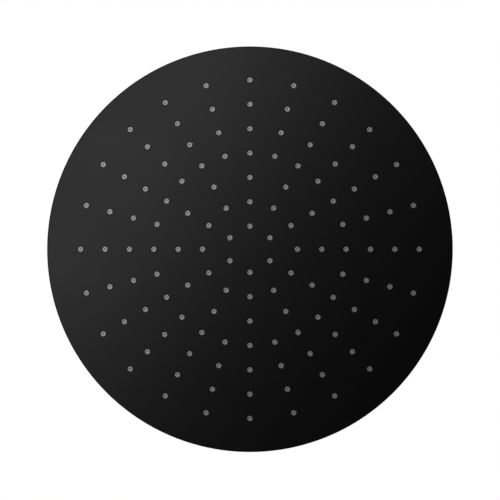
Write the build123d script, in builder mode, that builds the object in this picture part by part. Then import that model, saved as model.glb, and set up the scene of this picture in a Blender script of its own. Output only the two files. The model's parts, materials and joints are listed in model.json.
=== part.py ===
"""Round overhead shower head: a flat spray face with soft nozzles, carried by a ball joint and its inlet.

Units are millimetres and z points up. The origin is the middle of the inlet's mouth, and the spray face
points down, as the head hangs from its supply arm.
"""

import math
import os

from build123d import *

# Body of the head
HEAD_DIAMETER = 250.0
RIM_HEIGHT = 8.0
SHEET = 1.0
FACE_EDGE_BEVEL = 0.5
COVER_RISE = 6.5
RIM_LAND = 4.0
HUB_LAND = 6.0
COVER_FIT = 0.05

# Nozzle field: a ring's nozzles double in number when they would stand too far apart
FIRST_RING_RADIUS = 14.2
RING_PITCH = 15.0
FIELD_MARGIN = 18.0
FIRST_RING_NOZZLES = 6
WIDEST_NOZZLE_SPACING = 29.0
FIRST_RING_TURN = 30.0

# One nozzle, drawn with few sides because there are so many
NOZZLE_SIDES = 6
NOZZLE_ROOT_DIAMETER = 3.5
NOZZLE_TAPER = 6.0
NOZZLE_REACH = 1.2
NOZZLE_HOLE_GAP = 0.05
JET_DIAMETER = 1.2
MAT_THICKNESS = 1.2
MAT_EDGE_GAP = 0.1

# Inlet, with the bore of a half-inch parallel pipe thread
THREAD_DIAMETER = 18.631
THREAD_LENGTH = 10.0
THREAD_DEPTH = 1.17
HEX_WALL = 2.0
HEX_CORNER_CUT = 0.9
INLET_FLOOR = 2.0

# Pieces that lie in the inlet
WASHER_THICKNESS = 2.0
WASHER_EDGE_GAP = 0.1
WASHER_HOLE_DIAMETER = 12.0
SCREEN_THICKNESS = 0.4
SCREEN_PITCH = 1.7
SCREEN_WIRE = 0.5
SCREEN_GAPS_ACROSS = 5
RESTRICTOR_FLANGE = 0.8
RESTRICTOR_WALL = 1.0
RESTRICTOR_LENGTH = 6.0
RESTRICTOR_JETS = 4
RESTRICTOR_JET_DIAMETER = 1.0
RESTRICTOR_FIT = 0.05

# Ball joint
WATER_BORE_DIAMETER = 10.0
NECK_WALL = 2.0
BALL_OVERHANG = 4.0
TILT_LIMIT = 15.0
SEAT_GAP = 0.05
SWING_GAP = 0.4

# Seats of the ball: the angles are from straight down and straight up
SEAL_ANGLE = 50.0
SEAL_SEAT_BELOW = 1.9
SEAL_SEAT_ABOVE = 3.5
SEAL_FOOT = 1.7
SEAL_FIT = 0.05
FRICTION_ANGLE = 65.0
FRICTION_RING_HEIGHT = 5.7
FRICTION_RING_LIFT = 0.3

# Socket and collar
SOCKET_ROOM = 1.45
SOCKET_WALL = 1.6
SOCKET_FLOOR = 2.5
SOCKET_FLOOR_LAND = 0.7
SOCKET_RIM = 1.0
SOCKET_FLANGE = 6.0
THREAD_FIT = 0.05
COLLAR_WALL = 3.0
COLLAR_LIP = 1.6
COLLAR_CHAMFER = 0.8
COLLAR_LIFT = 0.3
COLLAR_FLAT_DEPTH = 1.0
COLLAR_FLAT_HEIGHT = 10.0

# Radii of the ball joint, from the water bore outwards
WATER_BORE_RADIUS = WATER_BORE_DIAMETER / 2
NECK_RADIUS = WATER_BORE_RADIUS + NECK_WALL
BALL_RADIUS = NECK_RADIUS + BALL_OVERHANG
SEAT_RADIUS = BALL_RADIUS + SEAT_GAP
SOCKET_BORE_RADIUS = BALL_RADIUS + SOCKET_ROOM
SOCKET_RADIUS = SOCKET_BORE_RADIUS + SOCKET_WALL
COLLAR_BORE_RADIUS = SOCKET_RADIUS + THREAD_FIT
COLLAR_RADIUS = COLLAR_BORE_RADIUS + COLLAR_WALL

# Heights of the ball joint, above the middle of the ball
SEAL_CONTACT_HEIGHT = -SEAT_RADIUS * math.cos(math.radians(SEAL_ANGLE))
SEAL_LOW_HEIGHT = SEAL_CONTACT_HEIGHT - SEAL_SEAT_BELOW * math.sin(math.radians(SEAL_ANGLE))
SEAL_HIGH_HEIGHT = SEAL_CONTACT_HEIGHT + SEAL_SEAT_ABOVE * math.sin(math.radians(SEAL_ANGLE))
SOCKET_FLOOR_HEIGHT = SEAL_LOW_HEIGHT - SEAL_FOOT
FRICTION_RING_LOW = SOCKET_RIM + FRICTION_RING_LIFT
FRICTION_RING_HIGH = FRICTION_RING_LOW + FRICTION_RING_HEIGHT
COLLAR_TOP = FRICTION_RING_HIGH + COLLAR_LIP
TILT = math.radians(TILT_LIMIT)
NECK_LENGTH = COLLAR_TOP * math.cos(TILT) + COLLAR_RADIUS * math.sin(TILT) + SWING_GAP

# Levels from the inlet's mouth down to the spray face
THREAD_RADIUS = THREAD_DIAMETER / 2
RELIEF_RADIUS = THREAD_RADIUS + THREAD_DEPTH
HEX_FLAT_RADIUS = RELIEF_RADIUS + HEX_WALL
HEX_CORNER_RADIUS = HEX_FLAT_RADIUS / math.cos(math.pi / 6)
RELIEF_TOP_Z = -THREAD_LENGTH
WASHER_Z = RELIEF_TOP_Z - WASHER_THICKNESS
SCREEN_Z = WASHER_Z - SCREEN_THICKNESS
INLET_FLOOR_Z = SCREEN_Z - RESTRICTOR_FLANGE
HEX_BOTTOM_Z = INLET_FLOOR_Z - INLET_FLOOR
BALL_Z = HEX_BOTTOM_Z - NECK_LENGTH
COVER_UNDERSIDE_Z = BALL_Z + SOCKET_FLOOR_HEIGHT
HUB_Z = COVER_UNDERSIDE_Z + SHEET
RIM_TOP_Z = HUB_Z - COVER_RISE
FACE_Z = RIM_TOP_Z - RIM_HEIGHT
MAT_Z = FACE_Z + SHEET
MAT_TOP_Z = MAT_Z + MAT_THICKNESS

# Radii of the body
HEAD_RADIUS = HEAD_DIAMETER / 2
SHELL_BORE_RADIUS = HEAD_RADIUS - SHEET
COVER_RADIUS = SHELL_BORE_RADIUS - COVER_FIT
HUB_RADIUS = COLLAR_RADIUS + HUB_LAND


def neck_reach(height):
    """Return how far from the head's axis the neck's side swings, at a height above the ball's middle."""
    return height * math.tan(TILT) + NECK_RADIUS / math.cos(TILT)


def nozzle_rings():
    """Return each ring's radius, number of nozzles and first angle, from the innermost ring outwards."""
    rings = []
    radius = FIRST_RING_RADIUS
    count = FIRST_RING_NOZZLES
    first_angle = FIRST_RING_TURN
    while radius <= HEAD_RADIUS - FIELD_MARGIN:
        if 2 * math.pi * radius / count > WIDEST_NOZZLE_SPACING:
            count = 2 * count
        rings.append((radius, count, first_angle))
        radius = radius + RING_PITCH
        first_angle = 0.0
    return rings


def draw_at_nozzles(diameter):
    """Draw one nozzle outline of the given diameter at every nozzle, in the sketch that is open."""
    for radius, count, first_angle in nozzle_rings():
        with PolarLocations(radius, count, start_angle=first_angle):
            RegularPolygon(diameter / 2, NOZZLE_SIDES)


# Spray face: a shallow drawn pan, pierced at every nozzle
with BuildPart() as face_shell:
    with BuildSketch(Plane.XY.offset(FACE_Z)):
        Circle(HEAD_RADIUS)
    extrude(amount=RIM_HEIGHT)
    face_edge = face_shell.edges().sort_by(Axis.Z)[0]
    chamfer(face_edge, FACE_EDGE_BEVEL)
    with BuildSketch(Plane.XY.offset(MAT_Z)):
        Circle(SHELL_BORE_RADIUS)
    extrude(amount=RIM_HEIGHT, mode=Mode.SUBTRACT)
    with BuildSketch(Plane.XY.offset(FACE_Z)):
        draw_at_nozzles(NOZZLE_ROOT_DIAMETER + 2 * NOZZLE_HOLE_GAP)
    extrude(amount=SHEET, mode=Mode.SUBTRACT)

# Nozzle mat: a soft sheet behind the face, with a tapered nozzle through every hole
with BuildPart() as nozzle_mat:
    with BuildSketch(Plane.XY.offset(MAT_Z)):
        Circle(SHELL_BORE_RADIUS - MAT_EDGE_GAP)
    extrude(amount=MAT_THICKNESS)
    with BuildSketch(Plane.XY.offset(MAT_Z)):
        draw_at_nozzles(NOZZLE_ROOT_DIAMETER)
    extrude(amount=-(SHEET + NOZZLE_REACH), taper=NOZZLE_TAPER)
    with BuildSketch(Plane.XY.offset(MAT_TOP_Z)):
        draw_at_nozzles(JET_DIAMETER)
    extrude(amount=-(MAT_THICKNESS + SHEET + NOZZLE_REACH), mode=Mode.SUBTRACT)

# Back cover: a shallow cone whose turned-down edge holds the mat against the face
with BuildPart() as back_cover:
    with BuildSketch(Plane.XZ):
        with BuildLine():
            Polyline(
                (COLLAR_BORE_RADIUS, HUB_Z),
                (HUB_RADIUS, HUB_Z),
                (COVER_RADIUS - RIM_LAND, RIM_TOP_Z),
                (COVER_RADIUS, RIM_TOP_Z),
                (COVER_RADIUS, MAT_TOP_Z),
                (COVER_RADIUS - SHEET, MAT_TOP_Z),
                (COVER_RADIUS - SHEET, RIM_TOP_Z - SHEET),
                (COVER_RADIUS - RIM_LAND, RIM_TOP_Z - SHEET),
                (HUB_RADIUS, COVER_UNDERSIDE_Z),
                (COLLAR_BORE_RADIUS, COVER_UNDERSIDE_Z),
                close=True,
            )
        make_face()
    revolve(axis=Axis.Z)

# Ball socket: a cup through the cover, with its flange against the cover's underside
with BuildPart() as ball_socket:
    with BuildSketch(Plane.XZ):
        with BuildLine():
            Polyline(
                (WATER_BORE_RADIUS + SOCKET_FLOOR_LAND, COVER_UNDERSIDE_Z),
                (SOCKET_BORE_RADIUS, COVER_UNDERSIDE_Z),
                (SOCKET_BORE_RADIUS, BALL_Z + SOCKET_RIM),
                (SOCKET_RADIUS, BALL_Z + SOCKET_RIM),
                (SOCKET_RADIUS, COVER_UNDERSIDE_Z),
                (SOCKET_RADIUS + SOCKET_FLANGE, COVER_UNDERSIDE_Z),
                (SOCKET_RADIUS + SOCKET_FLANGE, COVER_UNDERSIDE_Z - SOCKET_FLOOR),
                (WATER_BORE_RADIUS + SOCKET_FLOOR_LAND, COVER_UNDERSIDE_Z - SOCKET_FLOOR),
                close=True,
            )
        make_face()
    revolve(axis=Axis.Z)

# Ball seal: a ring on the socket's floor, with a conical seat that the ball rests in
seal_contact_radius = SEAT_RADIUS * math.sin(math.radians(SEAL_ANGLE))
seal_inner_radius = seal_contact_radius - SEAL_SEAT_BELOW * math.cos(math.radians(SEAL_ANGLE))
seal_lip_radius = seal_contact_radius + SEAL_SEAT_ABOVE * math.cos(math.radians(SEAL_ANGLE))
seal_outer_radius = SOCKET_BORE_RADIUS - SEAL_FIT
with BuildPart() as ball_seal:
    with BuildSketch(Plane.XZ):
        with BuildLine():
            Polyline(
                (seal_inner_radius, COVER_UNDERSIDE_Z),
                (seal_outer_radius, COVER_UNDERSIDE_Z),
                (seal_outer_radius, BALL_Z + SEAL_HIGH_HEIGHT),
                (seal_lip_radius, BALL_Z + SEAL_HIGH_HEIGHT),
                (seal_inner_radius, BALL_Z + SEAL_LOW_HEIGHT),
                close=True,
            )
        make_face()
    revolve(axis=Axis.Z)

# Friction ring: held down on the ball by the collar, and open wide enough for the neck to swing
friction_contact_radius = SEAT_RADIUS * math.sin(math.radians(FRICTION_ANGLE))
friction_contact_height = SEAT_RADIUS * math.cos(math.radians(FRICTION_ANGLE))
friction_slope = math.tan(math.radians(FRICTION_ANGLE))
friction_opening = neck_reach(FRICTION_RING_HIGH) + SWING_GAP
friction_base_radius = friction_contact_radius + (friction_contact_height - FRICTION_RING_LOW) / friction_slope
friction_throat_height = friction_contact_height + (friction_contact_radius - friction_opening) * friction_slope
with BuildPart() as friction_ring:
    with BuildSketch(Plane.XZ):
        with BuildLine():
            Polyline(
                (friction_base_radius, BALL_Z + FRICTION_RING_LOW),
                (SOCKET_RADIUS, BALL_Z + FRICTION_RING_LOW),
                (SOCKET_RADIUS, BALL_Z + FRICTION_RING_HIGH),
                (friction_opening, BALL_Z + FRICTION_RING_HIGH),
                (friction_opening, BALL_Z + friction_throat_height),
                close=True,
            )
        make_face()
    revolve(axis=Axis.Z)

# Collar: a nut over the socket, with a lip on the friction ring and two spanner flats
collar_opening = neck_reach(COLLAR_TOP) + SWING_GAP
collar_bottom_z = HUB_Z + COLLAR_LIFT
with BuildPart() as collar:
    with BuildSketch(Plane.XZ):
        with BuildLine():
            Polyline(
                (COLLAR_BORE_RADIUS, collar_bottom_z),
                (COLLAR_RADIUS, collar_bottom_z),
                (COLLAR_RADIUS, BALL_Z + COLLAR_TOP),
                (collar_opening, BALL_Z + COLLAR_TOP),
                (collar_opening, BALL_Z + FRICTION_RING_HIGH),
                (COLLAR_BORE_RADIUS, BALL_Z + FRICTION_RING_HIGH),
                close=True,
            )
        make_face()
    revolve(axis=Axis.Z)
    top_outer_edge = collar.faces().sort_by(Axis.Z)[-1].edges().sort_by(SortBy.RADIUS)[-1]
    chamfer(top_outer_edge, COLLAR_CHAMFER)
    with BuildSketch(Plane.XY.offset(collar_bottom_z)):
        with PolarLocations(COLLAR_RADIUS, 2):
            Rectangle(2 * COLLAR_FLAT_DEPTH, 2 * COLLAR_RADIUS)
    extrude(amount=COLLAR_FLAT_HEIGHT, mode=Mode.SUBTRACT)

# Ball stem: a six-sided inlet over a neck and a ball, bored through for the water
with BuildPart() as ball_stem:
    with BuildSketch(Plane.XY.offset(HEX_BOTTOM_Z)):
        RegularPolygon(HEX_FLAT_RADIUS, 6, major_radius=False)
    extrude(amount=-HEX_BOTTOM_Z)
    with BuildSketch(Plane.XZ):
        with BuildLine():
            Polyline(
                (0, HEX_BOTTOM_Z),
                (HEX_FLAT_RADIUS, HEX_BOTTOM_Z),
                (HEX_CORNER_RADIUS, HEX_BOTTOM_Z + HEX_CORNER_CUT),
                (HEX_CORNER_RADIUS, -HEX_CORNER_CUT),
                (HEX_FLAT_RADIUS, 0),
                (0, 0),
                close=True,
            )
        make_face()
    revolve(axis=Axis.Z, mode=Mode.INTERSECT)
    with BuildSketch(Plane.XY.offset(BALL_Z)):
        Circle(NECK_RADIUS)
    extrude(amount=NECK_LENGTH)
    with Locations((0, 0, BALL_Z)):
        Sphere(BALL_RADIUS)
    with BuildSketch():
        Circle(THREAD_RADIUS)
    extrude(amount=-THREAD_LENGTH, mode=Mode.SUBTRACT)
    with BuildSketch(Plane.XY.offset(INLET_FLOOR_Z)):
        Circle(RELIEF_RADIUS)
    extrude(amount=RELIEF_TOP_Z - INLET_FLOOR_Z, mode=Mode.SUBTRACT)
    with BuildSketch(Plane.XY.offset(BALL_Z - BALL_RADIUS)):
        Circle(WATER_BORE_RADIUS)
    extrude(amount=BALL_RADIUS - BALL_Z, mode=Mode.SUBTRACT)

# Flow restrictor: a moulded cup in the water bore, hung by its flange, with jets through its floor
restrictor_radius = WATER_BORE_RADIUS - RESTRICTOR_FIT
restrictor_bore_radius = restrictor_radius - RESTRICTOR_WALL
restrictor_flange_radius = THREAD_RADIUS - WASHER_EDGE_GAP
restrictor_bottom_z = INLET_FLOOR_Z - RESTRICTOR_LENGTH
with BuildPart() as flow_restrictor:
    with BuildSketch(Plane.XY.offset(INLET_FLOOR_Z)):
        Circle(restrictor_flange_radius)
    extrude(amount=RESTRICTOR_FLANGE)
    with BuildSketch(Plane.XY.offset(INLET_FLOOR_Z)):
        Circle(restrictor_radius)
    extrude(amount=-RESTRICTOR_LENGTH)
    with BuildSketch(Plane.XY.offset(restrictor_bottom_z + RESTRICTOR_WALL)):
        Circle(restrictor_bore_radius)
    extrude(amount=RESTRICTOR_LENGTH + RESTRICTOR_FLANGE, mode=Mode.SUBTRACT)
    with BuildSketch(Plane.XY.offset(restrictor_bottom_z)):
        with PolarLocations(restrictor_bore_radius - RESTRICTOR_JET_DIAMETER, RESTRICTOR_JETS):
            Circle(RESTRICTOR_JET_DIAMETER / 2)
    extrude(amount=RESTRICTOR_WALL, mode=Mode.SUBTRACT)

# Filter screen: a thin disc with a square grid of gaps between its wires
with BuildPart() as filter_screen:
    with BuildSketch(Plane.XY.offset(SCREEN_Z)):
        Circle(restrictor_flange_radius)
        with GridLocations(SCREEN_PITCH, SCREEN_PITCH, SCREEN_GAPS_ACROSS, SCREEN_GAPS_ACROSS):
            Rectangle(SCREEN_PITCH - SCREEN_WIRE, SCREEN_PITCH - SCREEN_WIRE, mode=Mode.SUBTRACT)
    extrude(amount=SCREEN_THICKNESS)

# Inlet washer: a flat ring that the end of the supply arm is screwed down on
with BuildPart() as inlet_washer:
    with BuildSketch(Plane.XY.offset(WASHER_Z)):
        Circle(restrictor_flange_radius)
        Circle(WASHER_HOLE_DIAMETER / 2, mode=Mode.SUBTRACT)
    extrude(amount=WASHER_THICKNESS)

os.makedirs("parts", exist_ok=True)

face_shell.part.label = "face_shell"
export_step(face_shell.part, "parts/face_shell.step")

nozzle_mat.part.label = "nozzle_mat"
export_step(nozzle_mat.part, "parts/nozzle_mat.step")

back_cover.part.label = "back_cover"
export_step(back_cover.part, "parts/back_cover.step")

ball_socket.part.label = "ball_socket"
export_step(ball_socket.part, "parts/ball_socket.step")

ball_seal.part.label = "ball_seal"
export_step(ball_seal.part, "parts/ball_seal.step")

friction_ring.part.label = "friction_ring"
export_step(friction_ring.part, "parts/friction_ring.step")

collar.part.label = "collar"
export_step(collar.part, "parts/collar.step")

ball_stem.part.label = "ball_stem"
export_step(ball_stem.part, "parts/ball_stem.step")

flow_restrictor.part.label = "flow_restrictor"
export_step(flow_restrictor.part, "parts/flow_restrictor.step")

filter_screen.part.label = "filter_screen"
export_step(filter_screen.part, "parts/filter_screen.step")

inlet_washer.part.label = "inlet_washer"
export_step(inlet_washer.part, "parts/inlet_washer.step")
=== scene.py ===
"""Looks of a round overhead shower head: satin black body, soft grey nozzles and a ball-jointed inlet.

Lengths are metres, in the frame of the solids: z points up, the middle of the inlet's mouth is the origin
and the spray face points down. The camera looks straight up at that face.
"""

import json
import logging
import math
from abc import ABC, abstractmethod
from collections.abc import Callable, Iterable, Sequence
from dataclasses import dataclass, field
from enum import Enum
from functools import cache
from typing import Any

import bmesh
import bpy
from mathutils import Matrix, Vector
from mathutils.geometry import delaunay_2d_cdt


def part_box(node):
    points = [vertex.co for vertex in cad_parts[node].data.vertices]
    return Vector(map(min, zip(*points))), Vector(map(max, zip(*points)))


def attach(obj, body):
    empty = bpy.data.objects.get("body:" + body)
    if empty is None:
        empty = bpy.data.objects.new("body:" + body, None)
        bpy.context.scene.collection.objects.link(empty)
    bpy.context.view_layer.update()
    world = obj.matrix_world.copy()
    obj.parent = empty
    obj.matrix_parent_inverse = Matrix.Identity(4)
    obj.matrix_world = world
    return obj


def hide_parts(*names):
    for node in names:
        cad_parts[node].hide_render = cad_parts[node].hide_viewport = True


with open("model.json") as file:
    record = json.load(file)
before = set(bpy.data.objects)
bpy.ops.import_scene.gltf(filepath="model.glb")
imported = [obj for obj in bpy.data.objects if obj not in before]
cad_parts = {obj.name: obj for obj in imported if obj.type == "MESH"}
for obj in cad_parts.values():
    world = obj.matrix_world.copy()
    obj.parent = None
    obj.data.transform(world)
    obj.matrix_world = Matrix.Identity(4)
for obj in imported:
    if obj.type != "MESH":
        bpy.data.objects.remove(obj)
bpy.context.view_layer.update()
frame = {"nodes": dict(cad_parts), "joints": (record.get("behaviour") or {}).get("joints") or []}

MM = 0.001
MICRON = 0.000001
SMOOTH_ANGLE = math.radians(32)
AXIS = Vector((0, 0, 0))
NOISE_MIDDLE = 0.5
FILL_WITH_TRIANGLES = 0
FILL_MARGIN = 1e-9
LOG = logging.getLogger("shower_head")

Colour = tuple[float, float, float, float]
Point = tuple[float, float]
Loop = list[int]
Outline = Callable[[float, float, float], Point]


class Body(Enum):
    """The rigid bodies that a piece can ride on."""

    INLET = "inlet"
    SWIVEL = "swivel"
    HEAD = "head"


class Slot(Enum):
    """The finishes that the record names."""

    COATING = "black_coating"
    SILICONE = "grey_silicone"
    RUBBER = "black_rubber"
    STEEL = "steel_wire"


# Shader maths


class Value:
    """A number that changes over a surface, written in ordinary arithmetic."""

    def __init__(self, graph: "Graph", socket: bpy.types.NodeSocket) -> None:
        """Wrap a socket of a graph."""
        self.graph = graph
        self.socket = socket

    def _math(self, operation: str, first: Any, second: Any) -> "Value":
        """Add one Math node and return its result."""
        node = self.graph.node("ShaderNodeMath", {"operation": operation}, {0: first, 1: second})
        return self.graph.value(node)

    def __add__(self, other: Any) -> "Value":
        """Return self + other."""
        return self._math("ADD", self, other)

    def __radd__(self, other: Any) -> "Value":
        """Return other + self."""
        return self._math("ADD", other, self)

    def __sub__(self, other: Any) -> "Value":
        """Return self - other."""
        return self._math("SUBTRACT", self, other)

    def __rsub__(self, other: Any) -> "Value":
        """Return other - self."""
        return self._math("SUBTRACT", other, self)

    def __mul__(self, other: Any) -> "Value":
        """Return self * other."""
        return self._math("MULTIPLY", self, other)

    def __rmul__(self, other: Any) -> "Value":
        """Return other * self."""
        return self._math("MULTIPLY", other, self)

    def at_least(self, other: Any) -> "Value":
        """Return the larger of self and other."""
        return self._math("MAXIMUM", self, other)

    def swing(self, width: float) -> "Value":
        """Return how far noise is from its middle, times a width."""
        return (self - NOISE_MIDDLE) * width

    def shared(self, share: float, other: "Value") -> "Value":
        """Return a mix that has that share of self and the rest of other."""
        return self * share + other * (1 - share)


class Graph:
    """The nodes of one material or of the world."""

    def __init__(self, tree: bpy.types.NodeTree) -> None:
        """Take over a node tree and empty it."""
        self.tree = tree
        self.tree.nodes.clear()

    def node(
        self,
        kind: str,
        settings: dict[str, Any] | None = None,
        inputs: dict[str | int, Any] | None = None,
    ) -> bpy.types.Node:
        """Add a node.

        Args:
            kind: the node's type.
            settings: properties of the node, set before its sockets.
            inputs: a value or a link for each socket, by name or place.

        Returns:
            The new node.
        """
        made = self.tree.nodes.new(kind)
        for name, setting in (settings or {}).items():
            setattr(made, name, setting)
        for key, given in (inputs or {}).items():
            if isinstance(given, Value):
                given = given.socket
            if isinstance(given, bpy.types.NodeSocket):
                self.tree.links.new(given, made.inputs[key])
            else:
                made.inputs[key].default_value = given
        return made

    def value(self, node: bpy.types.Node, output: str | int = 0) -> Value:
        """Return one of a node's outputs as a value."""
        return Value(self, node.outputs[output])

    def place(self) -> bpy.types.NodeSocket:
        """Return where a surface point lies on its own piece, in metres."""
        return self.node("ShaderNodeTexCoord").outputs["Object"]

    def noise(self, place: bpy.types.NodeSocket, size: float, detail: float = 2.0) -> Value:
        """Return smooth noise.

        Args:
            place: where it is read.
            size: the width of its spots.
            detail: how many finer layers it has.

        Returns:
            A value about one half, from 0 to 1.
        """
        inputs = {"Vector": place, "Scale": 1 / size, "Detail": detail}
        return self.value(self.node("ShaderNodeTexNoise", None, inputs), "Fac")

    def off_axis(self, place: bpy.types.NodeSocket) -> Value:
        """Return how far a place is from the z axis.

        Args:
            place: a place on the piece.

        Returns:
            The distance in metres.
        """
        flat = self.node("ShaderNodeVectorMath", {"operation": "MULTIPLY"}, {0: place, 1: (1, 1, 0)})
        length = self.node("ShaderNodeVectorMath", {"operation": "LENGTH"}, {0: flat.outputs["Vector"]})
        return self.value(length, "Value")

    def blend(self, share: Value, first: Colour, second: Colour) -> bpy.types.NodeSocket:
        """Mix two colours.

        Args:
            share: how much of the second one shows, from 0 to 1.
            first: the colour at 0.
            second: the colour at 1.

        Returns:
            The mixed colour.
        """
        inputs = {"Factor": share, "A": first, "B": second}
        mixed = self.node("ShaderNodeMix", {"data_type": "RGBA"}, inputs)
        return mixed.outputs["Result"]


# Finishes


def grey(level: float) -> Colour:
    """Return a neutral colour of that linear level."""
    return (level, level, level, 1.0)


@dataclass(frozen=True)
class Layers:
    """What a finish varies over its surface."""

    colour: bpy.types.NodeSocket
    roughness: Value
    relief: Value
    alpha: Value | float = 1.0


@dataclass(frozen=True)
class Finish(ABC):
    """What every finish has: two tones that its colour runs between, a gloss and a depth of relief."""

    name: str
    dark: Colour
    light: Colour
    roughness: float
    relief_depth: float
    specular: float = 0.5
    metallic: float = 0.0

    @abstractmethod
    def layers(self, graph: Graph) -> Layers:
        """Add the nodes of what varies over the surface."""

    @cache
    def material(self) -> bpy.types.Material:
        """Return this finish as a material, made once.

        Returns:
            The material, with a single shader.
        """
        made = bpy.data.materials.new(self.name)
        made.use_nodes = True
        graph = Graph(made.node_tree)
        layers = self.layers(graph)
        bump = graph.node("ShaderNodeBump", None, {"Distance": self.relief_depth, "Height": layers.relief})
        sockets = {
            "Base Color": layers.colour,
            "Roughness": layers.roughness,
            "Alpha": layers.alpha,
            "Normal": bump.outputs["Normal"],
            "Metallic": self.metallic,
            "Specular IOR Level": self.specular,
        }
        surface = graph.node("ShaderNodeBsdfPrincipled", None, sockets)
        graph.node("ShaderNodeOutputMaterial", None, {"Surface": surface.outputs["BSDF"]})
        return made


@dataclass(frozen=True)
class PowderCoat(Finish):
    """A baked powder coating: a soft orange peel with a fine powder grain in it."""

    peel: float = 1.1 * MM
    grain: float = 0.24 * MM
    cloud: float = 45.0 * MM
    grain_gloss: float = 0.10
    cloud_gloss: float = 0.03
    cloud_share: float = 0.6
    peel_share: float = 0.6

    def layers(self, graph: Graph) -> Layers:
        """Add the coating's peel, grain and faint unevenness.

        Args:
            graph: the material's nodes.

        Returns:
            The coating's layers.
        """
        place = graph.place()
        peel = graph.noise(place, self.peel)
        grain = graph.noise(place, self.grain)
        cloud = graph.noise(place, self.cloud)
        gloss = grain.swing(self.grain_gloss) + cloud.swing(self.cloud_gloss)
        colour = graph.blend(cloud.shared(self.cloud_share, grain), self.dark, self.light)
        return Layers(colour, self.roughness + gloss, peel.shared(self.peel_share, grain))


@dataclass(frozen=True)
class Moulded(Finish):
    """A moulded soft or hard plastic: the eroded skin of its mould, and faint flow marks."""

    flow: float = 4.0 * MM
    flow_detail: float = 3.0
    flow_share: float = 0.6
    skin: float = 0.25 * MM
    gloss_spread: float = 0.12

    def layers(self, graph: Graph) -> Layers:
        """Add the mould's skin and the flow marks.

        Args:
            graph: the material's nodes.

        Returns:
            The plastic's layers.
        """
        place = graph.place()
        flow = graph.noise(place, self.flow, self.flow_detail)
        skin = graph.noise(place, self.skin)
        gloss = flow.swing(self.gloss_spread) + skin.swing(self.gloss_spread)
        colour = graph.blend(flow.shared(self.flow_share, skin), self.dark, self.light)
        return Layers(colour, self.roughness + gloss, skin)


@dataclass(frozen=True)
class Turned(Finish):
    """A metal turned on a lathe: fine rings round the axis, under a faint tarnish."""

    ring: float = 0.18 * MM
    tarnish: float = 5.0 * MM
    tarnish_detail: float = 4.0
    tarnish_share: float = 0.7
    ring_gloss: float = 0.16
    tarnish_gloss: float = 0.12

    def layers(self, graph: Graph) -> Layers:
        """Add the tool's rings and the tarnish.

        Args:
            graph: the material's nodes.

        Returns:
            The metal's layers.
        """
        place = graph.place()
        height = graph.value(graph.node("ShaderNodeSeparateXYZ", None, {"Vector": place}), "Z")
        around = graph.node("ShaderNodeCombineXYZ", None, {"X": graph.off_axis(place), "Z": height})
        ring = graph.noise(around.outputs["Vector"], self.ring)
        tarnish = graph.noise(place, self.tarnish, self.tarnish_detail)
        gloss = ring.swing(self.ring_gloss) + tarnish.swing(self.tarnish_gloss)
        colour = graph.blend(tarnish.shared(self.tarnish_share, ring), self.dark, self.light)
        return Layers(colour, self.roughness + gloss, ring)


@dataclass(frozen=True)
class Drawn(Finish):
    """A drawn wire: long faint streaks along the way that it lies."""

    streak: float = 0.06 * MM
    flatten: tuple[float, float, float] = (0.12, 0.12, 1.0)
    gloss_spread: float = 0.18

    def layers(self, graph: Graph) -> Layers:
        """Add the streaks.

        Args:
            graph: the material's nodes.

        Returns:
            The wire's layers.
        """
        inputs = {0: graph.place(), 1: self.flatten}
        stretched = graph.node("ShaderNodeVectorMath", {"operation": "MULTIPLY"}, inputs)
        streak = graph.noise(stretched.outputs["Vector"], self.streak)
        colour = graph.blend(streak, self.dark, self.light)
        return Layers(colour, self.roughness + streak.swing(self.gloss_spread), streak)


@dataclass(frozen=True)
class PaintedFloor(Finish):
    """A pale painted floor that fades out far from its middle."""

    stipple: float = 5.0 * MM
    stipple_gloss: float = 0.1
    cloud: float = 0.7
    fade_start: float = 0.1
    fade_end: float = 2.4

    def layers(self, graph: Graph) -> Layers:
        """Add the roller's stipple and the fade.

        Args:
            graph: the material's nodes.

        Returns:
            The floor's layers.
        """
        place = graph.place()
        stipple = graph.noise(place, self.stipple)
        cloud = graph.noise(place, self.cloud)
        fade = graph.node(
            "ShaderNodeMapRange",
            {"interpolation_type": "SMOOTHSTEP"},
            {
                "Value": graph.off_axis(place),
                "From Min": self.fade_start,
                "From Max": self.fade_end,
                "To Min": 1.0,
                "To Max": 0.0,
            },
        )
        colour = graph.blend(cloud, self.dark, self.light)
        gloss = stipple.swing(self.stipple_gloss)
        return Layers(colour, self.roughness + gloss, stipple, graph.value(fade))


COATING = PowderCoat(
    "satin_black_coating",
    dark=grey(0.0004),
    light=grey(0.0008),
    roughness=0.303,
    relief_depth=45 * MICRON,
    specular=0.042,
)
# The face's own black coating again, painted lighter and given more sheen on the cover so that the back's
# form shows under the lamps; the real cover has the same coat as the face.
COATING_LIGHTENED_FOR_BACK = PowderCoat(
    "coating_painted_lighter_on_back",
    dark=grey(0.002),
    light=grey(0.004),
    roughness=0.38,
    relief_depth=45 * MICRON,
    specular=0.16,
)
JOINT_PAINT = PowderCoat(
    "satin_black_joint_paint",
    dark=grey(0.003),
    light=grey(0.006),
    roughness=0.36,
    relief_depth=12 * MICRON,
    specular=0.28,
    peel=0.7 * MM,
)
SILICONE = Moulded(
    "soft_grey_silicone",
    dark=grey(0.084),
    light=grey(0.101),
    roughness=0.31,
    relief_depth=25 * MICRON,
    specular=0.39,
)
RUBBER = Moulded(
    "washer_rubber",
    dark=grey(0.012),
    light=grey(0.020),
    roughness=0.64,
    relief_depth=40 * MICRON,
)
PLASTIC = Moulded(
    "natural_plastic",
    dark=(0.60, 0.59, 0.55, 1.0),
    light=(0.70, 0.69, 0.65, 1.0),
    roughness=0.46,
    relief_depth=20 * MICRON,
    flow=6.0 * MM,
)
BRASS = Turned(
    "turned_brass",
    dark=(0.30, 0.20, 0.08, 1.0),
    light=(0.42, 0.29, 0.12, 1.0),
    roughness=0.36,
    relief_depth=8 * MICRON,
    metallic=1.0,
)
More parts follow.
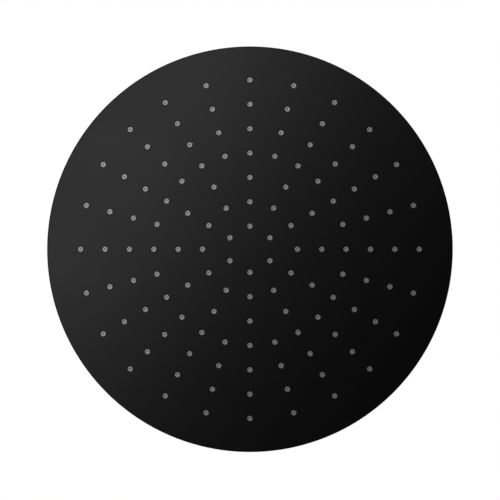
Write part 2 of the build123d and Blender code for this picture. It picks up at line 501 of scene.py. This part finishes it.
STEEL = Drawn(
    "bright_steel_wire",
    dark=grey(0.40),
    light=grey(0.56),
    roughness=0.30,
    relief_depth=3 * MICRON,
    metallic=1.0,
)
FLOOR_PAINT = PaintedFloor(
    "pale_floor_paint",
    dark=grey(0.82),
    light=grey(0.86),
    roughness=0.85,
    relief_depth=0.2 * MM,
)


# Mesh tools


@dataclass(frozen=True)
class Corner:
    """A corner of a turned profile: its distance from the axis, its height and its rounding's radius."""

    out: float
    up: float
    bend: float = 0.0


def arc(middle: Point, radius: float, first: float, last: float, steps: int) -> list[Point]:
    """Return the points of an arc.

    Args:
        middle: the arc's middle, as distance from the axis and height.
        radius: its radius.
        first: the angle that it starts at in degrees, where 0 points away from the axis and 90 up.
        last: the angle that it ends at.
        steps: how many straight pieces it has.

    Returns:
        Its points, ends included.
    """
    points = []
    for step in range(steps + 1):
        turn = math.radians(first + (last - first) * step / steps)
        points.append((middle[0] + radius * math.cos(turn), middle[1] + radius * math.sin(turn)))
    return points


def rounded(corners: Sequence[Corner], steps: int) -> list[Point]:
    """Return a closed profile with its corners rounded.

    Args:
        corners: the profile's corners in order.
        steps: how many straight pieces each rounding has.

    Returns:
        The points of the profile, as distance from the axis and height.
    """
    places = [Vector((corner.out, corner.up)) for corner in corners]
    points = []
    for index, corner in enumerate(corners):
        here = places[index]
        if not corner.bend:
            points.append(tuple(here))
            continue
        before = (places[index - 1] - here).normalized()
        after = (places[(index + 1) % len(places)] - here).normalized()
        half_angle = before.angle(after) / 2
        middle = here + (before + after).normalized() * (corner.bend / math.sin(half_angle))
        reach = corner.bend / math.tan(half_angle)
        start = here + before * reach - middle
        end = here + after * reach - middle
        first = math.degrees(math.atan2(start.y, start.x))
        swing = math.degrees(math.atan2(start.x * end.y - start.y * end.x, start.dot(end)))
        points += arc(tuple(middle), corner.bend, first, first + swing, steps)
    return points


class Draft:
    """A mesh in the making: loops of points, bridged and filled."""

    def __init__(self) -> None:
        """Start with nothing."""
        self.points: list[Vector] = []
        self.faces: list[tuple[int, ...]] = []

    def loop(self, points: Iterable[Vector]) -> Loop:
        """Add points.

        Args:
            points: the places of the points.

        Returns:
            Their numbers.
        """
        start = len(self.points)
        self.points.extend(points)
        return list(range(start, len(self.points)))

    def stack(self, profile: Sequence[Point], count: int, centre: Vector = AXIS) -> list[Loop]:
        """Add the circles of a profile that is turned about an upright line, and bridge them.

        Args:
            profile: distances from the line and heights, in order.
            count: how many points each circle has.
            centre: where the line stands.

        Returns:
            The loop of every circle.
        """
        spokes = [2 * math.pi * index / count for index in range(count)]
        loops = []
        for out, up in profile:
            ring = (centre + Vector((out * math.cos(turn), out * math.sin(turn), up)) for turn in spokes)
            loops.append(self.loop(ring))
        self.bridge(loops)
        return loops

    def bridge(self, loops: Sequence[Loop]) -> None:
        """Join each loop to the next one with a band of faces.

        Args:
            loops: closed loops of the same length.
        """
        for first, second in zip(loops, loops[1:]):
            for index in range(len(first)):
                after = (index + 1) % len(first)
                self.faces.append((first[index], first[after], second[after], second[index]))

    def sheet(self, outer: Loop, holes: Sequence[Loop]) -> None:
        """Fill a level sheet between a round loop and the holes in it.

        Args:
            outer: the loop round the sheet.
            holes: the loops that stay open.
        """
        numbers: Loop = []
        owners: list[int] = []
        edges: list[tuple[int, int]] = []
        for owner, rim in enumerate([outer, *holes]):
            start = len(numbers)
            count = len(rim)
            edges += [(start + index, start + (index + 1) % count) for index in range(count)]
            numbers += rim
            owners += [owner] * count
        flat = [self.points[number].xy for number in numbers]
        filled = delaunay_2d_cdt(flat, edges, [], FILL_WITH_TRIANGLES, FILL_MARGIN)
        triangles, sources = filled[2], filled[3]
        for triangle in triangles:
            corners = [sources[corner][0] for corner in triangle]
            touched = {owners[corner] for corner in corners}
            inside_a_hole = len(touched) == 1 and touched != {0}
            if not inside_a_hole:
                self.faces.append(tuple(numbers[corner] for corner in corners))

    def turn(self, profile: Sequence[Point], count: int, outline: Outline | None = None) -> None:
        """Turn a closed profile about the z axis.

        Args:
            profile: distances from the axis and heights, in order.
            count: how many points each turned circle has.
            outline: gives a point of the section at an angle, from its distance and height, if not round.
        """
        loops = self.stack(profile, count)
        self.bridge([loops[-1], loops[0]])
        if outline is None:
            return
        for (out, up), ring in zip(profile, loops):
            for index, number in enumerate(ring):
                angle = 2 * math.pi * index / count
                reach, level = outline(angle, out, up)
                self.points[number] = Vector((reach * math.cos(angle), reach * math.sin(angle), level))

    def finished(self, name: str) -> bpy.types.Object:
        """Make the piece, with its faces turned outwards and its round faces smooth.

        Args:
            name: the piece's name.

        Returns:
            The new object, in the scene.
        """
        mesh = bpy.data.meshes.new(name)
        mesh.from_pydata([tuple(point) for point in self.points], [], self.faces)
        shape = bmesh.new()
        shape.from_mesh(mesh)
        bmesh.ops.recalc_face_normals(shape, faces=shape.faces)
        for face in shape.faces:
            face.smooth = True
        shape.to_mesh(mesh)
        shape.free()
        mesh.set_sharp_from_angle(angle=SMOOTH_ANGLE)
        piece = bpy.data.objects.new(name, mesh)
        bpy.context.scene.collection.objects.link(piece)
        return piece


def dress(piece: bpy.types.Object, finish: Finish, body: Body, node: str) -> None:
    """Give a piece its finish and its place in the part.

    Args:
        piece: the new piece.
        finish: what it is covered with.
        body: the body that it rides on.
        node: the solid that it stands for.
    """
    piece.data.materials.append(finish.material())
    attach(piece, body.value)
    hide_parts(node)
    LOG.info("%s stands for %s: %d faces, %s", piece.name, node, len(piece.data.polygons), finish.name)


def refinish(node: str, finish: Finish) -> None:
    """Give a solid that keeps its own shape a finish.

    Args:
        node: the solid's name.
        finish: what it is covered with.
    """
    for slot in frame["nodes"][node].material_slots:
        slot.material = finish.material()
    LOG.info("%s keeps its solid: %s", node, finish.name)


# Head


@dataclass(frozen=True)
class NozzleField:
    """Where the nozzles stand: rings about the middle, doubled in number where they get too far apart."""

    first_radius: float = 14.2 * MM
    pitch: float = 15.0 * MM
    margin: float = 18.0 * MM
    first_count: int = 6
    widest_spacing: float = 29.0 * MM
    first_turn: float = math.radians(30)

    def centres(self, head_radius: float) -> list[Vector]:
        """Find the middle of every nozzle.

        Args:
            head_radius: the radius of the face that they stand on.

        Returns:
            The middles, from the inner ring out.
        """
        places = []
        radius = self.first_radius
        count = self.first_count
        start = self.first_turn
        while radius <= head_radius - self.margin:
            if 2 * math.pi * radius / count > self.widest_spacing:
                count *= 2
            for index in range(count):
                turn = start + 2 * math.pi * index / count
                places.append(Vector((radius * math.cos(turn), radius * math.sin(turn), 0.0)))
            radius += self.pitch
            start = 0.0
        return places


@dataclass
class SprayHead:
    """The round body: its pierced face, the soft nozzles behind it and the cover on its back."""

    sheet: float = 1.0 * MM
    face_edge: float = 0.6 * MM
    face_border: float = 0.4 * MM
    rim_edge: float = 0.25 * MM
    hole_radius: float = 1.82 * MM
    hole_edge: float = 0.12 * MM
    hole_border: float = 0.2 * MM
    nozzle_radius: float = 1.72 * MM
    tip_radius: float = 1.63 * MM
    tip_edge: float = 0.16 * MM
    tip_dish: float = 0.04 * MM
    halfway_dish: float = 1 / 3
    mouth_radius: float = 0.34 * MM
    mouth_edge: float = 0.08 * MM
    mouth_sweep: float = 60.0
    throat_radius: float = 0.14 * MM
    throat_depth: float = 0.18 * MM
    cover_edge: float = 0.3 * MM
    cover_hem: float = 0.2 * MM
    rim_land: float = 4.0 * MM
    rim_bend: float = 9.0 * MM
    hub_land: float = 6.0 * MM
    hub_bend: float = 7.0 * MM
    hub_fit: float = 0.05 * MM
    rim_count: int = 288
    nozzle_count: int = 28
    edge_steps: int = 6
    hem_steps: int = 3
    tip_steps: int = 5
    pattern: NozzleField = field(default_factory=NozzleField)

    def __post_init__(self) -> None:
        """Take the head's levels and radii from its solids."""
        shell_low, shell_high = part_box("face_shell")
        mat_low, mat_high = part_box("nozzle_mat")
        cover_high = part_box("back_cover")[1]
        self.face_z: float = shell_low.z
        self.rim_z: float = shell_high.z
        self.radius: float = shell_high.x
        self.tip_z: float = mat_low.z
        self.mat_z: float = self.face_z + self.sheet
        self.mat_top_z: float = mat_high.z
        self.mat_radius: float = mat_high.x
        self.cover_radius: float = cover_high.x
        self.hub_z: float = cover_high.z
        self.hub_hole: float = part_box("friction_ring")[1].x + self.hub_fit
        self.hub_radius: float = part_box("collar")[1].y + self.hub_land
        self.centres = self.pattern.centres(self.radius)

    def rim_profile(self) -> list[Point]:
        """Return the pan's section, from the edge of its face over its rim and down inside.

        Returns:
            The points of the open section.
        """
        edge = self.face_edge
        top = self.rim_edge
        inner = self.radius - self.sheet
        points = [(self.radius - edge - self.face_border, self.face_z)]
        points += arc((self.radius - edge, self.face_z + edge), edge, -90, 0, self.edge_steps)
        points += arc((self.radius - top, self.rim_z - top), top, 0, 90, self.hem_steps)
        points += arc((inner + top, self.rim_z - top), top, 90, 180, self.hem_steps)
        points.append((inner, self.mat_z))
        return points

    def hole_profile(self) -> list[Point]:
        """Return the section of a hole's wall, from a border on the face inwards.

        Returns:
            The points of the open section.
        """
        edge = self.hole_edge
        points = [(self.hole_radius + edge + self.hole_border, self.face_z)]
        points += arc((self.hole_radius + edge, self.face_z + edge), edge, -90, -180, self.hem_steps)
        points.append((self.hole_radius, self.mat_z))
        return points

    def nozzle_profile(self) -> list[Point]:
        """Return a nozzle's section, from its root over its tip and up its jet to the mat's back.

        Returns:
            The points of the open section.
        """
        edge = self.tip_edge
        lip = self.mouth_radius + self.mouth_edge
        lip_z = self.tip_z + self.tip_dish
        points = [(self.nozzle_radius, self.mat_z), (self.nozzle_radius, self.face_z)]
        points += arc((self.tip_radius - edge, self.tip_z + edge), edge, 0, -90, self.tip_steps)
        points.append(((self.tip_radius + lip) / 2, self.tip_z + self.tip_dish * self.halfway_dish))
        mouth = (lip, lip_z + self.mouth_edge)
        points += arc(mouth, self.mouth_edge, -90, -90 - self.mouth_sweep, self.hem_steps)
        points.append((self.throat_radius, self.tip_z + self.throat_depth))
        points.append((self.throat_radius, self.mat_z))
        points.append((self.mouth_radius, self.mat_top_z))
        return points

    def face(self) -> bpy.types.Object:
        """Build the drawn pan with its round, softly edged holes.

        Returns:
            The dressed piece.
        """
        draft = Draft()
        rim = draft.stack(self.rim_profile(), self.rim_count)
        holes = [draft.stack(self.hole_profile(), self.nozzle_count, centre) for centre in self.centres]
        draft.sheet(rim[0], [hole[0] for hole in holes])
        draft.sheet(rim[-1], [hole[-1] for hole in holes])
        piece = draft.finished("spray_face")
        dress(piece, COATING, Body.HEAD, "face_shell")
        return piece

    def nozzles(self) -> bpy.types.Object:
        """Build the soft mat with its round, bored nozzles.

        Returns:
            The dressed piece.
        """
        draft = Draft()
        sides = [(self.mat_radius, self.mat_z), (self.mat_radius, self.mat_top_z)]
        edge = draft.stack(sides, self.rim_count)
        jets = [draft.stack(self.nozzle_profile(), self.nozzle_count, centre) for centre in self.centres]
        draft.sheet(edge[0], [jet[0] for jet in jets])
        draft.sheet(edge[-1], [jet[-1] for jet in jets])
        piece = draft.finished("silicone_nozzles")
        dress(piece, SILICONE, Body.HEAD, "nozzle_mat")
        return piece

    def cover(self) -> bpy.types.Object:
        """Build the pressed back cover, softly bent at its rim and its hub.

        Returns:
            The dressed piece.
        """
        out = self.cover_radius
        inner = out - self.sheet
        land = out - self.rim_land
        hem = self.cover_hem
        corners = [
            Corner(self.hub_hole, self.hub_z, hem),
            Corner(self.hub_radius, self.hub_z, self.hub_bend),
            Corner(land, self.rim_z, self.rim_bend),
            Corner(out, self.rim_z, self.cover_edge),
            Corner(out, self.mat_top_z, hem),
            Corner(inner, self.mat_top_z, hem),
            Corner(inner, self.rim_z - self.sheet, hem),
            Corner(land, self.rim_z - self.sheet, self.rim_bend),
            Corner(self.hub_radius, self.hub_z - self.sheet, self.hub_bend),
            Corner(self.hub_hole, self.hub_z - self.sheet, hem),
        ]
        draft = Draft()
        draft.turn(rounded(corners, self.edge_steps), self.rim_count)
        piece = draft.finished("coated_cover")
        # The cover takes the copy of the coating that is painted lighter, for sheen on the back.
        dress(piece, COATING_LIGHTENED_FOR_BACK, Body.HEAD, "back_cover")
        return piece


# Ball joint and inlet


@dataclass
class Collar:
    """The nut that holds the ball: round, with two spanner flats on its lower part."""

    bore: float = 14.1 * MM
    opening: float = 9.95 * MM
    lip: float = 1.6 * MM
    flat_depth: float = 1.0 * MM
    flat_height: float = 10.0 * MM
    top_edge: float = 0.8 * MM
    edge: float = 0.3 * MM
    ledge: float = 0.12 * MM
    count: int = 192
    edge_steps: int = 5

    def __post_init__(self) -> None:
        """Take the collar's size from its solid."""
        low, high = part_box("collar")
        self.low_z: float = low.z
        self.high_z: float = high.z
        self.radius: float = high.y

    def outline(self, angle: float, out: float, up: float) -> Point:
        """Find a point of the collar's section, with its flats cut up to their height.

        Args:
            angle: the angle from the x axis.
            out: how far the round collar reaches.
            up: the height.

        Returns:
            The distance from the axis and the height.
        """
        inset = self.radius - out
        past_ledge = up - self.low_z - self.flat_height
        if past_ledge >= self.ledge or inset > self.edge:
            return out, up
        depth = self.flat_depth * (1 - max(past_ledge, 0.0) / self.ledge)
        flat = self.radius - depth - inset
        return flat / max(abs(math.cos(angle)), flat / out), up

    def build(self) -> bpy.types.Object:
        """Build the collar.

        Returns:
            The dressed piece.
        """
        flat_top = self.low_z + self.flat_height
        under_lip = self.high_z - self.lip
        corners = [
            Corner(self.bore, self.low_z, self.edge),
            Corner(self.radius, self.low_z, self.edge),
            Corner(self.radius, flat_top),
            Corner(self.radius, flat_top + self.ledge),
            Corner(self.radius, self.high_z, self.top_edge),
            Corner(self.opening, self.high_z, self.edge),
            Corner(self.opening, under_lip, self.edge),
            Corner(self.bore, under_lip),
        ]
        draft = Draft()
        draft.turn(rounded(corners, self.edge_steps), self.count, self.outline)
        piece = draft.finished("spanner_collar")
        dress(piece, JOINT_PAINT, Body.HEAD, "collar")
        return piece


@dataclass
class Stem:
    """The bored ball, its neck and the six-sided inlet with its pipe thread."""

    flat_radius: float = 12.4855 * MM
    corner_soft: float = 0.12 * MM
    corner_cut: float = 1.1 * MM
    cut_inset: float = 0.3 * MM
    cut_rows: int = 3
    hex_height: float = 15.2 * MM
    thread_minor: float = 9.3155 * MM
    thread_depth: float = 1.162 * MM
    thread_pitch: float = 1.814 * MM
    thread_length: float = 10.0 * MM
    lead_in: float = 1.2 * MM
    mouth_edge: float = 0.1 * MM
    relief_depth: float = 3.2 * MM
    neck_radius: float = 7.0 * MM
    neck_bend: float = 0.8 * MM
    bend_steps: int = 4
    ball_radius: float = 11.0 * MM
    ball_rows: int = 40
    bore_radius: float = 5.0 * MM
    bore_edge: float = 0.3 * MM
    count: int = 192
    rows_per_turn: int = 12

    def __post_init__(self) -> None:
        """Take the ball's middle from the joint that it turns on."""
        self.ball_z: float = frame["joints"][0]["pos_m"][2]
        self.cut_radius: float = self.flat_radius - self.cut_inset
        self.corner_radius: float = self.flat_radius / math.cos(math.pi / 6) - self.corner_soft
        self.relief: float = self.thread_minor + self.thread_depth

    def outline(self, angle: float, out: float, up: float) -> Point:
        """Find a point of the stem's section: six flats with cut corners outside, a screw thread inside.

        Args:
            angle: the angle from the x axis.
            out: the section's distance from the axis.
            up: its height.

        Returns:
            The distance from the axis and the height.
        """
        if out >= self.cut_radius:
            width = self.corner_radius - self.cut_radius
            across = self.flat_radius / math.cos(angle % (math.pi / 3) - math.pi / 6)
            share = (out - self.cut_radius) / width * min(1.0, (across - self.cut_radius) / width)
            drop = self.corner_cut * share
            at_mouth = up > -self.hex_height / 2
            return self.cut_radius + width * share, -drop if at_mouth else drop - self.hex_height
        if out == self.thread_minor:
            wave = math.cos(2 * math.pi * up / self.thread_pitch + angle)
            groove = self.thread_minor + self.thread_depth * (1 - wave) / 2
            funnel = self.relief + self.mouth_edge + up if up > -self.lead_in else 0.0
            return max(groove, funnel), up
        return out, up

    def hex_side(self) -> list[Point]:
        """Return the section of the inlet's outside at a corner, from its mouth down.

        Returns:
            The points of the open section.
        """
        shares = [row / self.cut_rows for row in range(self.cut_rows + 1)]
        width = self.corner_radius - self.cut_radius
        points = [(self.cut_radius + width * share, -self.corner_cut * share) for share in shares]
        foot = [(out, -self.hex_height - up) for out, up in reversed(points)]
        return points + foot

    def neck_and_ball(self) -> list[Point]:
        """Return the section of the neck and of the ball, down to the water bore.

        Returns:
            The points of the open section.
        """
        bend = self.neck_bend
        points = arc((self.neck_radius + bend, -self.hex_height - bend), bend, 90, 180, self.bend_steps)
        first = math.degrees(math.acos(self.neck_radius / self.ball_radius))
        last = -math.degrees(math.acos((self.bore_radius + self.bore_edge) / self.ball_radius))
        points += arc((0.0, self.ball_z), self.ball_radius, first, last, self.ball_rows)
        return points

    def inside(self) -> list[Point]:
        """Return the section of the water bore, of the inlet's floor and of the thread up to the mouth.

        Returns:
            The points of the open section.
        """
        floor = -self.thread_length - self.relief_depth
        edge = self.bore_edge
        foot = self.ball_z - math.sqrt(self.ball_radius**2 - self.bore_radius**2) + edge
        points = [(self.bore_radius, foot), (self.bore_radius, floor - edge)]
        points += [(self.bore_radius + edge, floor), (self.relief, floor)]
        points.append((self.relief, -self.thread_length))
        rows = round(self.thread_length / self.thread_pitch * self.rows_per_turn)
        points += [(self.thread_minor, -self.thread_length * (1 - row / rows)) for row in range(1, rows)]
        points.append((self.relief + self.mouth_edge, 0.0))
        return points

    def build(self) -> bpy.types.Object:
        """Build the stem.

        Returns:
            The dressed piece.
        """
        draft = Draft()
        draft.turn(self.hex_side() + self.neck_and_ball() + self.inside(), self.count, self.outline)
        piece = draft.finished("inlet_stem")
        dress(piece, JOINT_PAINT, Body.INLET, "ball_stem")
        return piece


@dataclass
class InletSeal:
    """The soft washer in the inlet and the woven screen under it."""

    hole_radius: float = 6.0 * MM
    washer_edge: float = 0.35 * MM
    rim_width: float = 3.2 * MM
    rim_edge: float = 0.12 * MM
    wire: float = 0.095 * MM
    mesh_pitch: float = 0.85 * MM
    wire_sides: int = 6
    steps_per_pitch: int = 4
    wire_seat: float = 0.2 * MM
    count: int = 96
    edge_steps: int = 4

    def ring(self, draft: Draft, node: str, inner: float, edge: float) -> None:
        """Add a flat ring with rounded edges.

        Args:
            draft: the mesh that it joins.
            node: the solid whose height and outside it has.
            inner: the radius of its hole.
            edge: the radius of its edges.
        """
        low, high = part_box(node)
        corners = [
            Corner(inner, low.z, edge),
            Corner(high.x, low.z, edge),
            Corner(high.x, high.z, edge),
            Corner(inner, high.z, edge),
        ]
        draft.turn(rounded(corners, self.edge_steps), self.count)

    def washer(self) -> bpy.types.Object:
        """Build the washer.

        Returns:
            The dressed piece.
        """
        draft = Draft()
        self.ring(draft, "inlet_washer", self.hole_radius, self.washer_edge)
        piece = draft.finished("soft_washer")
        dress(piece, RUBBER, Body.SWIVEL, "inlet_washer")
        return piece

    def wire_run(self, draft: Draft, start: Vector, end: Vector, lift: float) -> None:
        """Add one wire of the weave.

        Args:
            draft: the mesh that it joins.
            start: one end of its middle line.
            end: the other end.
            lift: how far it rises over the middle wire that it crosses, or dips if negative.
        """
        along = (end - start).normalized()
        beside = Vector((-along.y, along.x, 0.0))
        steps = round((end - start).length / self.mesh_pitch * self.steps_per_pitch)
        loops = []
        for step in range(steps + 1):
            place = start.lerp(end, step / steps)
            place.z += lift * math.cos(math.pi * place.dot(along) / self.mesh_pitch)
            ring = []
            for side in range(self.wire_sides):
                turn = 2 * math.pi * side / self.wire_sides
                outward = beside * math.cos(turn) + Vector((0, 0, math.sin(turn)))
                ring.append(place + self.wire * outward)
            loops.append(draft.loop(ring))
        draft.bridge(loops)
        draft.faces += [tuple(loops[0]), tuple(loops[-1])]

    def screen(self) -> bpy.types.Object:
        """Build the woven screen in its pressed rim.

        Returns:
            The dressed piece.
        """
        draft = Draft()
        low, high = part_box("filter_screen")
        level = (low.z + high.z) / 2
        inner = high.x - self.rim_width
        self.ring(draft, "filter_screen", inner, self.rim_edge)
        reach = int(inner / self.mesh_pitch)
        for index in range(-reach, reach + 1):
            offset = index * self.mesh_pitch
            half = math.sqrt(inner**2 - offset**2) + self.wire_seat
            lift = self.wire if index % 2 else -self.wire
            self.wire_run(draft, Vector((offset, -half, level)), Vector((offset, half, level)), lift)
            self.wire_run(draft, Vector((-half, offset, level)), Vector((half, offset, level)), -lift)
        piece = draft.finished("woven_screen")
        dress(piece, STEEL, Body.INLET, "filter_screen")
        return piece


# Studio


@dataclass(frozen=True)
class SoftBox:
    """A soft oblong lamp. Its length lies level, square to the way that it points."""

    name: str
    place: Vector
    aim: Vector
    length: float
    width: float
    power: float
    spread: float = math.pi

    def build(self) -> None:
        """Add the lamp."""
        lamp = bpy.data.lights.new(self.name, "AREA")
        lamp.shape = "RECTANGLE"
        lamp.size = self.length
        lamp.size_y = self.width
        lamp.energy = self.power
        lamp.spread = self.spread
        back = (self.place - self.aim).normalized()
        across = Vector((0, 0, 1)).cross(back).normalized()
        turn = Matrix((across, back.cross(across), back)).transposed()
        stand = bpy.data.objects.new(self.name, lamp)
        stand.matrix_world = Matrix.Translation(self.place) @ turn.to_4x4()
        stand.visible_camera = False
        bpy.context.scene.collection.objects.link(stand)
        LOG.info("%s lamp of %.2f W", self.name, self.power)


@dataclass(frozen=True)
class LampRing:
    """Equal soft boxes set evenly round the part, all aimed at one place."""

    name: str
    turn: float
    out: float
    rise: float
    length: float
    width: float
    power: float
    count: int = 6
    spread: float = math.radians(70)

    def build(self, aim: Vector) -> None:
        """Add the lamps.

        Args:
            aim: the place that they point at.
        """
        for index in range(self.count):
            turn = self.turn + 2 * math.pi * index / self.count
            place = Vector((self.out * math.cos(turn), self.out * math.sin(turn), self.rise))
            name = f"{self.name}_{index + 1}"
            SoftBox(name, place, aim, self.length, self.width, self.power, self.spread).build()


@dataclass
class Studio:
    """A pale floor far below, soft lamps, a white surround and a long lens that looks straight up."""

    image_px: float = 500.0
    face_radius_px: float = 202.95
    face_centre_px: tuple[float, float] = (249.97, 249.26)
    distance: float = 1.25
    sensor: float = 36.0
    floor_drop: float = 2.1
    floor_radius: float = 2.5
    floor_count: int = 96
    ambient: float = 0.40
    key_turn: float = math.radians(36)
    key_out: float = 0.228
    key_drop: float = 1.3
    key_aim: float = 0.09
    key_length: float = 0.85
    key_width: float = 0.10
    key_power: float = 0.50
    key_spread: float = math.radians(30)
    upper: LampRing = LampRing(
        "upper_box",
        turn=math.radians(15),
        out=0.75,
        rise=0.85,
        length=0.36,
        width=0.22,
        power=0.25,
    )

    def __post_init__(self) -> None:
        """Take the face's level and radius from its solid."""
        low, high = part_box("face_shell")
        self.face = Vector((0.0, 0.0, low.z))
        self.face_radius: float = high.x

    def camera(self) -> None:
        """Add the camera, placed so that the face lies where the photograph has it."""
        per_px = self.face_radius / self.face_radius_px
        rightward, downward = (middle - self.image_px / 2 for middle in self.face_centre_px)
        lens = bpy.data.cameras.new("camera")
        lens.sensor_width = self.sensor
        lens.lens = self.sensor * self.distance / (self.image_px * per_px)
        eye = bpy.data.objects.new("camera", lens)
        eye.location = self.face + Vector((rightward * per_px, downward * per_px, -self.distance))
        eye.rotation_euler = (0.0, math.pi, 0.0)
        bpy.context.scene.collection.objects.link(eye)
        bpy.context.scene.camera = eye

    def surround(self) -> None:
        """Make the world white where it is seen, and a plain soft light elsewhere."""
        world = bpy.data.worlds.new("white_surround")
        world.use_nodes = True
        bpy.context.scene.world = world
        graph = Graph(world.node_tree)
        path = graph.node("ShaderNodeLightPath")
        seen = graph.value(path, "Is Camera Ray").at_least(graph.value(path, "Is Glossy Ray"))
        seen = seen.at_least(graph.value(path, "Is Transmission Ray"))
        strength = self.ambient + seen * (1.0 - self.ambient)
        glow = graph.node("ShaderNodeBackground", None, {"Color": grey(1.0), "Strength": strength})
        graph.node("ShaderNodeOutputWorld", None, {"Surface": glow.outputs["Background"]})

    def floor(self) -> None:
        """Add the pale floor."""
        draft = Draft()
        level = self.face.z - self.floor_drop
        rim = draft.stack([(self.floor_radius, level)], self.floor_count)
        draft.sheet(rim[0], [])
        ground = draft.finished("floor")
        ground.data.materials.append(FLOOR_PAINT.material())

    def lamps(self) -> None:
        """Add the key strip below the face and the ring of soft boxes over the back."""
        towards = Vector((math.cos(self.key_turn), math.sin(self.key_turn), 0.0))
        place = self.face + towards * self.key_out - Vector((0.0, 0.0, self.key_drop))
        aim = self.face + towards * self.key_aim
        key = SoftBox(
            "key_strip", place, aim, self.key_length, self.key_width, self.key_power, self.key_spread
        )
        key.build()
        self.upper.build(self.face)

    def build(self) -> None:
        """Set up the studio."""
        bpy.context.scene.view_settings.view_transform = "Standard"
        self.camera()
        self.surround()
        self.floor()
        self.lamps()


def main() -> None:
    """Build the pieces in order, from the head to the inlet, and the studio round them."""
    logging.basicConfig(level=logging.INFO, format="%(name)s: %(message)s")
    head = SprayHead()
    head.face()
    head.nozzles()
    head.cover()
    Collar().build()
    Stem().build()
    seal = InletSeal()
    seal.washer()
    seal.screen()
    refinish("ball_socket", BRASS)
    refinish("ball_seal", RUBBER)
    refinish("friction_ring", PLASTIC)
    refinish("flow_restrictor", PLASTIC)
    Studio().build()


if __name__ == "__main__":
    main()
